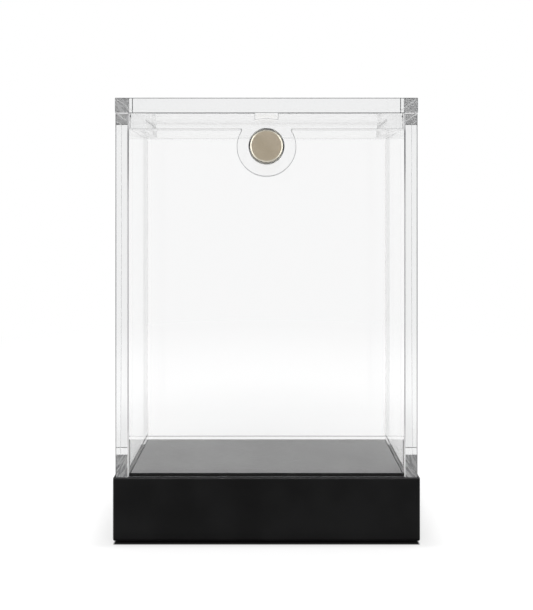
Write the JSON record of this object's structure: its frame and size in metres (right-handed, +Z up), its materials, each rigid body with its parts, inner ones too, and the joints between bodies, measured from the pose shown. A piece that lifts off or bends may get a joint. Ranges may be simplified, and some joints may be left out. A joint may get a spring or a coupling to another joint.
{
  "type": "trading card display case",
  "caption": "Free-standing clear display case for a graded card: four clear walls on a black base, with a lift-off lid held by a magnet tab.",
  "frame": {"origin": "centre of the footprint, on the surface the feet stand on", "axes": "+Z up along the case's height, +X to the viewer's right along its width, -Y out of the front panel"},
  "size_m": [0.1196, 0.042, 0.1734],
  "materials": {
    "base_black": "satin moulded",
    "cover_black": "fine moulded texture",
    "screw_steel": "zinc plated",
    "foot_rubber": "matte",
    "mat_grey": "fine grained matte",
    "clear_sheet": "clear, polished edges",
    "magnet_nickel": "satin nickel plated"
  },
  "bodies": {
    "case": {"base_shell": "base_black", "base_cover": "cover_black", "cover_screws": "screw_steel", "rubber_feet": "foot_rubber", "floor_mat": "mat_grey", "front_panel": "clear_sheet", "back_panel": "clear_sheet", "left_panel": "clear_sheet", "right_panel": "clear_sheet", "panel_magnet": "magnet_nickel"},
    "lid": {"lid_plate": "clear_sheet", "front_lip": "clear_sheet", "back_lip": "clear_sheet", "left_lip": "clear_sheet", "right_lip": "clear_sheet", "tab_magnet": "magnet_nickel"}
  },
  "joints": [
    {"name": "lid_lift", "type": "slide", "parent": "case", "child": "lid", "axis": [0, 0, 1], "range_m": [0, 0.035]}
  ]
}
